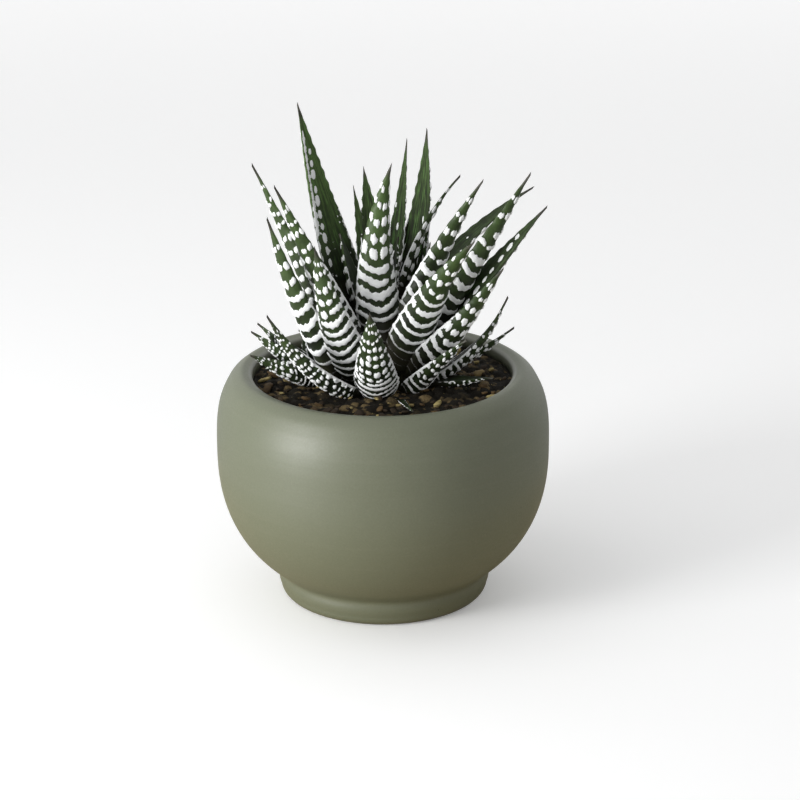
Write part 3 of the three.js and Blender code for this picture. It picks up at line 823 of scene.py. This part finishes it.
FOOT_RADIUS = 38.2
FOOT_TAPER = 1.3
FOOT_HEIGHT = 7.9
FOOT_EDGE = 3.6
FOOT_SHOULDER = 1.0
FOOT_NOTCH_RADIUS = 36.5
FOOT_NOTCH_HEIGHT = 9.4
FOOT_RING = 28.0
FOOT_RECESS = 1.2
FOOT_MIDDLE = 4
UNDER_DEPTH = 53.4
UNDER_POWER = 2.3
SHOULDER_RISE = 36.8
SHOULDER_POWER = 3.5
LIP_RADIUS = 3.9
LIP_CENTRE = 49.3
LIP_HEIGHT = 79.1
LIP_START = 90
LIP_FLATNESS = 8.0
LIP_FALL = 1.3
CORNER_RADIUS = 53.3
CORNER_HEIGHT = 80.2
CORNER_FROM = 22.0
FLOOR_HEIGHT = 8.0
INNER_RISE = 31.8
NECK_DROP = 2.0
FLAT_SHARE = 0.97

# Glaze: step between the points of its eased lines, and rounds of easing of the wall and the
# corner.
GLAZE_PITCH = 0.6
GLAZE_FLOW = 18
CORNER_FLOW = 7

# Where the glaze is paler, in metres from the axis or the floor: the lip's inner edge, the top of
# the lip and the foot's ledge.
PALE_EDGE = (0.0473, 0.0465)
PALE_EDGE_HEIGHT = (0.0795, 0.0815)
PALE_TOP = (0.0795, 0.083)
PALE_LEDGE = ((0.0068, 0.0082), (0.0098, 0.0086))


def wall_line(radius, reach, power, start, end, sign, belly, count):
    """Rounded wall between two heights: a superellipse about the belly."""
    away = np.linspace(start, end, count)
    out = radius * (1 - (away / reach) ** power) ** (1 / power)
    return np.stack([out, belly + sign * away], -1)


def arc_line(centre, height, radius, start, end, count):
    angle = np.radians(np.linspace(start, end, count))
    return np.stack([centre + radius * np.cos(angle), height + radius * np.sin(angle)], -1)


def lip_line():
    """Top of the lip and its inner edge: a quarter of a rounded square that falls evenly inwards
    and turns down quickly at its inner edge."""
    angle = np.radians(np.linspace(LIP_START, 180, 20))
    across = LIP_RADIUS * np.abs(np.cos(angle)) ** (2 / LIP_FLATNESS)
    up = LIP_RADIUS * np.sin(angle) ** (2 / LIP_FLATNESS) - LIP_FALL * across / LIP_RADIUS
    return np.stack([LIP_CENTRE - across, LIP_HEIGHT + up], -1)


def inner_line(radius, belly, scale, count):
    """Inside of the bowl, from under the lip down to the middle of its floor."""
    depth = belly - FLOOR_HEIGHT
    neck = LIP_HEIGHT - belly - NECK_DROP
    upper = wall_line(radius, INNER_RISE, SHOULDER_POWER, neck, 0, 1, belly, count)
    lower = wall_line(radius, depth, UNDER_POWER, 0, depth * FLAT_SHARE, -1, belly, count)[1:]
    line = np.concatenate([upper, lower])
    return np.stack([line[:, 0] * scale, belly + (line[:, 1] - belly) * scale], -1)


def softened(line, rounds):
    """The same line with even steps, its corners eased as glaze eases them: each point is drawn
    towards the middle of its neighbours, round after round."""
    step = np.append(0, np.cumsum(np.hypot(*np.diff(line, axis=0).T)))
    at = np.linspace(0, step[-1], round(step[-1] / GLAZE_PITCH))
    eased = np.stack([np.interp(at, step, line[:, k]) for k in range(2)], -1)
    for _ in range(rounds):
        eased[1:-1] = (eased[:-2] + 2 * eased[1:-1] + eased[2:]) / 4
    return eased


def bowl_profile(settings):
    """Profile of the bowl from the ring under its foot, up the outside, over the lip and inside."""
    radius, belly, wall = (v / MM for v in (settings.radius, settings.belly_height, settings.wall))
    notch = belly - FOOT_NOTCH_HEIGHT - FOOT_SHOULDER
    ledge_height = FOOT_HEIGHT - FOOT_SHOULDER
    foot_side = np.stack([
        FOOT_RADIUS - np.linspace(FOOT_TAPER, 0, 5)[1:],
        np.linspace(FOOT_EDGE, ledge_height, 5)[1:],
    ], -1)
    outside = np.concatenate([
        foot_side,
        arc_line(FOOT_RADIUS - FOOT_SHOULDER, ledge_height, FOOT_SHOULDER, 0, 75, 6)[1:],
        [[FOOT_NOTCH_RADIUS, FOOT_NOTCH_HEIGHT]],
        wall_line(radius, UNDER_DEPTH, UNDER_POWER, notch, 0, -1, belly, 44),
    ])
    shoulder = np.concatenate([
        wall_line(radius, SHOULDER_RISE, SHOULDER_POWER, 0, CORNER_FROM, 1, belly, 26),
        [[CORNER_RADIUS, CORNER_HEIGHT]], lip_line()[:2],
    ])
    return np.concatenate([
        np.stack([np.linspace(FOOT_MIDDLE, FOOT_RING, 6), np.full(6, FOOT_RECESS)], -1),
        arc_line(FOOT_RING + FOOT_RECESS, FOOT_RECESS, FOOT_RECESS, 180, 270, 5)[1:],
        arc_line(FOOT_RADIUS - FOOT_TAPER - FOOT_EDGE, FOOT_EDGE, FOOT_EDGE, -90, 0, 12),
        softened(outside, GLAZE_FLOW),
        softened(shoulder, CORNER_FLOW)[1:],
        lip_line()[1:],
        inner_line(radius - wall, belly, 1, 14),
    ])


def turned(profile, angle):
    """Points of a profile of radius and height, carried round the upright axis."""
    x, y = profile[:, :1] * np.cos(angle), profile[:, :1] * np.sin(angle)
    return np.stack([x, y, profile[:, 1:] + 0 * angle], -1).reshape(-1, 3)


def bowl_surface(settings):
    """The bowl's profile turned round the upright axis, closed with a point at each end."""
    profile = bowl_profile(settings)
    angle = np.linspace(0, 2 * np.pi, settings.sides, endpoint=False)
    ends = [[0, 0, FOOT_RECESS], [0, 0, FLOOR_HEIGHT]]
    return np.concatenate([turned(profile, angle), ends]), *tube_faces(len(profile), settings.sides)


def glaze_material(settings):
    """Matt sage glaze with a soft sheen, fine grain, sparse dark specks and faint turning lines."""
    tree = Finish("sage_glaze", 0.44, 0.62, 0.08)
    tree.feed(Coat_Roughness=0.42)
    height = tree.part(tree.place, 2)
    grain, specks = speckle(tree, 1500.0, 420.0, 0.004)
    cloud = tree.noise(tree.place, 28.0, 3.0)
    rings = tree.noise(tree.stretched(tree.place, (6.0, 6.0, 420.0)), 1.0, 3.0, 0.6)
    flat = tree.filled("ShaderNodeVectorMath", {"operation": "MULTIPLY"}, tree.place, (1, 1, 0))[0]
    edge = tree.span(tree.length(flat), *PALE_EDGE)
    edge = tree.times(edge, tree.span(height, *PALE_EDGE_HEIGHT))
    rim = tree.plus(tree.times(tree.span(height, *PALE_TOP), 0.05), tree.times(edge, 0.8))
    ledge = tree.times(*(tree.span(height, *bounds) for bounds in PALE_LEDGE))
    light = (0.2, 0.205, 0.15)
    colour = tree.layered(
        settings.glaze,
        (tree.span(cloud, 0.3, 0.7, 0.0, 0.35), (0.155, 0.166, 0.111)),
        (tree.span(grain, 0.5, 0.75, 0.0, 0.22), (0.11, 0.112, 0.07)),
        (tree.span(grain, 0.5, 0.25, 0.0, 0.25), light),
        (tree.span(rings, 0.5, 0.8, 0.0, 0.15), light),
        # Paler at the lip's inner edge, faintly on the lip's top and on the foot's ledge.
        (tree.maths("MAXIMUM", rim, tree.times(ledge, 0.04)), settings.worn),
        (tree.times(specks, 0.75), (0.045, 0.04, 0.028)),
    )
    tree.feed(Roughness=tree.span(grain, 0.3, 0.7, 0.43, 0.52, "LINEAR"))
    return tree.done(colour, tree.plus(tree.times(grain, 0.35), rings), 0.16, 0.0004)


# Soil: sizes in mm

SOIL_MOUND = 1.2
LUMP_HEIGHT = 0.4
LUMP_SIZE = 3.2
SOIL_SHRINK = 0.992
GAP = 0.3

# Grid of the top: points round it and rings, and the radius of the last ring.
SOIL_GRID = (220, 120)
SOIL_MIDDLE = 0.35

# Crumbs: how much of a ball shows, how far they sink, how far from the edge they start, the tone
# between them, and in how many goes they are worked out.
CRUMB_SHOWS = 0.62
CRUMB_SINK = 0.55
CRUMBS_FROM = 1.5
PEAT_TONE = 0.15
CRUMB_GOES = 30

# Bits of bark: points round one and rows, how far out they lie, how square they are and how far
# their middles lie above the mound.
BARK_GRID = (9, 5)
BARK_REACH = 43
BARK_POWER = 0.7
BARK_LIFT = 0.3


def soil_top(x, y, ground):
    """Height of the soil's surface: a low mound with small lumps, flat at the edge."""
    share = np.minimum(np.hypot(x, y) / (LIP_CENTRE - LIP_RADIUS), 1)
    crossed = np.sin(x / LUMP_SIZE) * np.cos(y / LUMP_SIZE)
    slanted = np.sin((x - 2 * y) / (2 * LUMP_SIZE))
    return ground + SOIL_MOUND * (1 - share**2) + LUMP_HEIGHT * (crossed + slanted) * (1 - share**8)


def crumb_relief(x, y, mouth, count):
    """Crumbs on the soil: at each point the highest of many half-sunk balls, each with a shade."""
    draws = np.random.default_rng(CRUMB_SEED)
    angle = draws.uniform(0, 2 * np.pi, count)
    away = mouth * np.sqrt(draws.random(count))
    size = draws.uniform(0.7, 1.0, count) + 1.6 * draws.random(count) ** 5
    shade = draws.random(count)
    raised = np.zeros(x.size)
    tone = np.full(x.size, PEAT_TONE)
    flat_x, flat_y = x.ravel(), y.ravel()
    for chunk in np.array_split(np.arange(count), CRUMB_GOES):
        apart_x = flat_x[:, None] - away[chunk] * np.cos(angle[chunk])
        apart_y = flat_y[:, None] - away[chunk] * np.sin(angle[chunk])
        inside = 1 - (apart_x**2 + apart_y**2) / size[chunk] ** 2
        dome = CRUMB_SHOWS * size[chunk] * np.sqrt(np.maximum(inside, 0))
        best = dome.argmax(1)
        top = dome[np.arange(x.size), best]
        tone = np.where(top > raised, shade[chunk][best], tone)
        raised = np.maximum(top, raised)
    return raised.reshape(x.shape), tone.reshape(x.shape)


def soil_surface(settings, bowl):
    """Crumbly top as a grid of angle and distance from the middle, closed by the bowl's inside."""
    mouth = LIP_CENTRE - LIP_RADIUS - GAP
    columns, rings = SOIL_GRID
    radius = np.linspace(mouth, SOIL_MIDDLE, rings)[:, None]
    angle = np.linspace(0, 2 * np.pi, columns, endpoint=False)[None]
    x, y = radius * np.cos(angle), radius * np.sin(angle)
    raised, tone = crumb_relief(x, y, mouth, settings.crumbs)
    calm = smooth(mouth - radius, 0.0, CRUMBS_FROM)
    z = soil_top(x, y, settings.height / MM) + (raised - CRUMB_SINK) * calm
    inside = (bowl.radius - bowl.wall) / MM
    side = inner_line(inside, bowl.belly_height / MM, SOIL_SHRINK, 8)[::-1]
    points = np.concatenate([
        turned(side, angle), np.stack([x, y, z], -1).reshape(-1, 3),
        [[0, 0, side[0, 1]], [0, 0, z[-1].mean()]],
    ])
    kept = np.concatenate([np.zeros(len(side) * columns), tone.ravel(), [0, 0]])
    return points, *tube_faces(len(side) + rings, columns), {"tone": kept}


def bark_surface(settings):
    """Loose bits of bark: each a flattened squarish pebble, a superellipsoid with its own size,
    turn and shade, half sunk in the soil."""
    draws = np.random.default_rng(BARK_SEED)
    count = settings.bits
    columns, rows = BARK_GRID
    turn = np.linspace(0, 2 * np.pi, columns, endpoint=False)
    rise = np.linspace(-np.pi / 2, np.pi / 2, rows + 2)[1:-1, None]

    def squared(value):
        return np.sign(value) * np.abs(value) ** BARK_POWER

    angle = draws.uniform(0, 2 * np.pi, count)
    away = BARK_REACH * np.sqrt(draws.uniform(0.08, 1, count))
    length = draws.uniform(0.7, 1.5, count) + 1.5 * draws.random(count) ** 4
    across = length * draws.uniform(0.45, 0.85, count)
    high = length * draws.uniform(0.25, 0.5, count)
    spin = draws.uniform(0, np.pi, count)
    tilt = draws.uniform(-0.5, 0.5, count)
    rough = draws.uniform(0.82, 1.12, (count, rows, columns))
    flat = squared(np.cos(rise))
    u = flat * squared(np.cos(turn)) * rough * length[:, None, None]
    v = flat * squared(np.sin(turn)) * rough * across[:, None, None]
    w = squared(np.sin(rise)) * rough * high[:, None, None]
    w = w + u * np.sin(tilt)[:, None, None]
    poles = np.zeros((count, 2, 3))
    poles[:, 0, 2], poles[:, 1, 2] = -high, high
    local = np.concatenate([np.stack([u, v, w], -1).reshape(count, -1, 3), poles], 1)
    cos, sin = np.cos(spin)[:, None], np.sin(spin)[:, None]
    place_x, place_y = away * np.cos(angle), away * np.sin(angle)
    x = place_x[:, None] + local[..., 0] * cos - local[..., 1] * sin
    y = place_y[:, None] + local[..., 0] * sin + local[..., 1] * cos
    base = soil_top(place_x, place_y, settings.height / MM) + BARK_LIFT
    points = np.stack([x, y, base[:, None] + local[..., 2]], -1).reshape(-1, 3)
    shift = (np.arange(count) * (rows * columns + 2))[:, None, None]
    quads, triangles = ((f + shift).reshape(-1, f.shape[1]) for f in tube_faces(rows, columns))
    tone = np.repeat(draws.random(count) ** 1.3, rows * columns + 2)
    return points, quads, triangles, {"tone": tone}


def soil_material(settings):
    """Moist dark peat with browner, drier crumbs."""
    tree = Finish("potting_mix", 0.9, 0.25)
    grit, specks = speckle(tree, 1300.0, 900.0, 0.1)
    colour = tree.layered(
        settings.dark,
        (tree.span(tree.stored("tone"), 0.35, 1.0), settings.crumb),
        (tree.span(grit, 0.45, 0.75, 0.0, 0.7), settings.dark),
        (tree.times(specks, 0.8), settings.bark),
    )
    return tree.done(colour, grit, 0.7, 0.0006)


def bark_material(settings):
    """Bits of bark from dark brown through orange to tan."""
    tree = Finish("bark_bits", 0.8, 0.3)
    tone = tree.stored("tone")
    grain = tree.noise(tree.stretched(tree.place, (500.0, 1600.0, 1600.0)), 1.0, 3.0)
    colour = tree.layered(
        (0.03, 0.02, 0.011),
        (tree.span(tone, 0.3, 0.7), (0.13, 0.08, 0.032)),
        (tree.span(tone, 0.66, 0.9), settings.bark),
        (tree.span(grain, 0.4, 0.75, 0.0, 0.6), (0.03, 0.018, 0.01)),
    )
    return tree.done(colour, grain, 0.5, 0.0004)


# Stage

# Glow of the floor and, from these distances behind the bowl in metres, of the backdrop: how
# bright each is to the camera, and how bright the backdrop is to the plant and the bowl.
FLOOR_GLOW = 0.17
BACKDROP_FROM = (0.5, 1.6)
SEEN_GLOW = 0.16
BACKDROP_GLOW = 0.48

# How far from the middle, in metres, the floor's near bounce turns into its far one. Then the
# floor's width, its ends before and behind, its bend and the backdrop's height, in mm.
BOUNCE_TURNS = (0.12, 0.2)
SWEEP = (9000, -4500, 1500, 900, 4500)
SWEEP_STEPS = 24

# The box light's place, what it faces and its size in metres; the way to the far light and how
# wide that looks in degrees.
SIDE_LIGHT = ((-0.58, -0.39, 0.21), (0, 0, 0.07), (0.28, 0.42))
TOP_LIGHT = ((-0.6, -0.1, 0.8), 40)


def sweep_surface(width, front, back, bend, height):
    """A floor that curves up behind into a wall: a line forward, a quarter circle and a line up,
    carried sideways."""
    turn = np.linspace(0, np.pi / 2, SWEEP_STEPS)
    line = np.concatenate([
        [[front, 0.0]],
        np.stack([back + bend * np.sin(turn), bend * (1 - np.cos(turn))], -1),
        [[back + bend, height]],
    ])
    x = np.broadcast_to(np.linspace(-width / 2, width / 2, 3), (len(line), 3))
    y, z = (np.broadcast_to(line[:, k, None], x.shape) for k in range(2))
    row, column = np.meshgrid(np.arange(len(line) - 1), np.arange(2), indexing="ij")
    here = (row * 3 + column).ravel()
    quads = np.stack([here, here + 1, here + 4, here + 3], -1)
    return np.stack([x, y, z], -1).reshape(-1, 3), quads, np.zeros((0, 3), int)


def floor_material(settings):
    """Pale to the camera, with a glow that keeps it plain. To the plant and the bowl, its colour
    turns with the distance from them and its backdrop lights their edges."""
    tree = Finish("pale_floor", 0.85, 0.2)
    seen = tree.node("ShaderNodeLightPath").outputs["Is Camera Ray"]
    far = tree.span(tree.length(tree.place), *BOUNCE_TURNS)
    bounce = tree.mix(far, settings.near_bounce, settings.far_bounce)
    behind = tree.span(tree.part(tree.place, 1), *BACKDROP_FROM)
    glow = tree.times(behind, tree.span(seen, 0, 1, BACKDROP_GLOW, SEEN_GLOW, "LINEAR"))
    glow = tree.plus(glow, tree.times(seen, FLOOR_GLOW))
    tree.feed(
        Base_Color=tree.mix(seen, bounce, settings.floor), Emission_Strength=1.0,
        Emission_Color=tree.mix(glow, (0, 0, 0), (1, 1, 1)),
    )
    return tree.material


def add_light(name, kind, away):
    """A light that shines from the way that away points to."""
    light = add_object(name, bpy.data.lights.new(name, kind))
    light.rotation_euler = away.to_track_quat("Z", "Y").to_euler()
    return light


def add_box_light(place, aim, size, strength):
    """A broad light at a place, turned to an aim; strength is what reaches the aim. It gives light
    and isn't itself seen."""
    away = Vector(place) - Vector(aim)
    light = add_light("side", "AREA", away)
    light.location = place
    light.visible_camera = False
    light.data.shape = "RECTANGLE"
    light.data.size, light.data.size_y = size
    light.data.energy = strength * math.pi * away.length_squared


def add_far_light(direction, spread, strength):
    light = add_light("top", "SUN", Vector(direction))
    light.data.angle = math.radians(spread)
    light.data.energy = strength


def add_sky(strength):
    world = bpy.data.worlds.new("studio")
    world.use_nodes = True
    sky = world.node_tree.nodes["Background"]
    sky.inputs["Color"].default_value = (1, 1, 1, 1)
    sky.inputs["Strength"].default_value = strength
    bpy.context.scene.world = world


def add_camera():
    """The camera where the photo was taken from, turned by its ways right, up and back."""
    down, roll = math.radians(CAMERA_DOWN), math.radians(CAMERA_ROLL)
    forward = Vector((0, math.cos(down), -math.sin(down)))
    up = Vector((0, math.sin(down), math.cos(down)))
    level = Vector((1, 0, 0))
    right = level * math.cos(roll) + up * math.sin(roll)
    top = up * math.cos(roll) - level * math.sin(roll)
    camera = add_object("camera", bpy.data.cameras.new("camera"))
    camera.data.sensor_width = FRAME_WIDTH
    camera.data.lens = CAMERA_LENS
    camera.data.clip_end = SIGHT
    facing = Matrix((right, top, -forward)).transposed().to_4x4()
    camera.matrix_world = Matrix.Translation(Vector(CAMERA_PLACE) * MM) @ facing
    bpy.context.scene.camera = camera
    bpy.context.scene.view_settings.view_transform = "Standard"


class HAWORTHIA_OT_bowl(bpy.types.Operator):
    """Make the round glazed bowl"""

    bl_idname = "haworthia.bowl"
    bl_label = "Bowl"

    def execute(self, context):
        settings = context.scene.haworthia_bowl
        shape = bowl_surface(settings)
        add_piece("glazed_bowl", glaze_material(settings), shape, "glaze", "bowl")
        return {"FINISHED"}


class HAWORTHIA_OT_soil(bpy.types.Operator):
    """Make the crumbly soil and the loose bits of bark on it"""

    bl_idname = "haworthia.soil"
    bl_label = "Soil"

    def execute(self, context):
        settings = context.scene.haworthia_soil
        shape = soil_surface(settings, context.scene.haworthia_bowl)
        add_piece("crumbly_soil", soil_material(settings), shape, "soil", "soil")
        add_piece("bark_bits", bark_material(settings), bark_surface(settings), "soil")
        return {"FINISHED"}


class HAWORTHIA_OT_leaves(bpy.types.Operator):
    """Make the leaves and the stem of the main rosette"""

    bl_idname = "haworthia.leaves"
    bl_label = "Main rosette"

    def execute(self, context):
        settings = context.scene.haworthia_leaves
        ground = context.scene.haworthia_soil.height / MM
        skin = leaf_material(settings)
        for seed, leaf in enumerate(LEAVES):
            shape = leaf_surface(leaf, MAIN_STEM, ground, settings, seed)
            add_piece(f"blade_{leaf.name}", skin, shape, "leaf", f"leaf_{leaf.name}")
        shape = stem_surface(MAIN_STEM, ground)
        add_piece("rosette_stem", stem_material(), shape, "stem", "stem")
        return {"FINISHED"}


class HAWORTHIA_OT_offset(bpy.types.Operator):
    """Make the small offset rosette beside the main one"""

    bl_idname = "haworthia.offset"
    bl_label = "Offset rosette"

    def execute(self, context):
        settings = context.scene.haworthia_leaves
        ground = context.scene.haworthia_soil.height / MM
        parts = [
            leaf_surface(leaf, OFFSET_STEM, ground, settings, OFFSET_SEED + seed)
            for seed, leaf in enumerate(OFFSET_LEAVES)
        ]
        parts.append(stem_surface(OFFSET_STEM, ground, OFFSET_GROWTH))
        skin = bpy.data.materials.get("leaf_skin") or leaf_material(settings)
        add_piece("small_rosette", skin, joined(parts), "leaf", "offset_rosette")
        return {"FINISHED"}


class HAWORTHIA_OT_stage(bpy.types.Operator):
    """Make the pale floor, the light and the camera"""

    bl_idname = "haworthia.stage"
    bl_label = "Stage"

    def execute(self, context):
        settings = context.scene.haworthia_stage
        floor = add_surface("floor", floor_material(settings), *sweep_surface(*SWEEP))
        add_sky(settings.sky)
        add_box_light(*SIDE_LIGHT, settings.side)
        add_far_light(*TOP_LIGHT, settings.top)
        add_camera()
        return {"FINISHED"}


class HAWORTHIA_PT_panel(bpy.types.Panel):
    """Buttons that make each part of the potted plant"""

    bl_idname = "HAWORTHIA_PT_panel"
    bl_label = "Potted haworthia"
    bl_space_type = "VIEW_3D"
    bl_region_type = "UI"
    bl_category = "Plant"

    def draw(self, context):
        for operator in OPERATORS:
            self.layout.operator(operator.bl_idname)


SETTINGS = {
    "haworthia_bowl": HAWORTHIA_PG_bowl,
    "haworthia_leaves": HAWORTHIA_PG_leaves,
    "haworthia_soil": HAWORTHIA_PG_soil,
    "haworthia_stage": HAWORTHIA_PG_stage,
}
OPERATORS = (
    HAWORTHIA_OT_bowl,
    HAWORTHIA_OT_soil,
    HAWORTHIA_OT_leaves,
    HAWORTHIA_OT_offset,
    HAWORTHIA_OT_stage,
)


def register():
    for kind in (*SETTINGS.values(), *OPERATORS, HAWORTHIA_PT_panel):
        bpy.utils.register_class(kind)
    for name, kind in SETTINGS.items():
        setattr(bpy.types.Scene, name, PointerProperty(type=kind))


def unregister():
    for name in SETTINGS:
        delattr(bpy.types.Scene, name)
    for kind in (HAWORTHIA_PT_panel, *reversed(OPERATORS), *reversed(SETTINGS.values())):
        bpy.utils.unregister_class(kind)


def main():
    """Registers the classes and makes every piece."""
    register()
    bpy.ops.haworthia.bowl()
    bpy.ops.haworthia.soil()
    bpy.ops.haworthia.leaves()
    bpy.ops.haworthia.offset()
    bpy.ops.haworthia.stage()


if __name__ == "__main__":
    main()
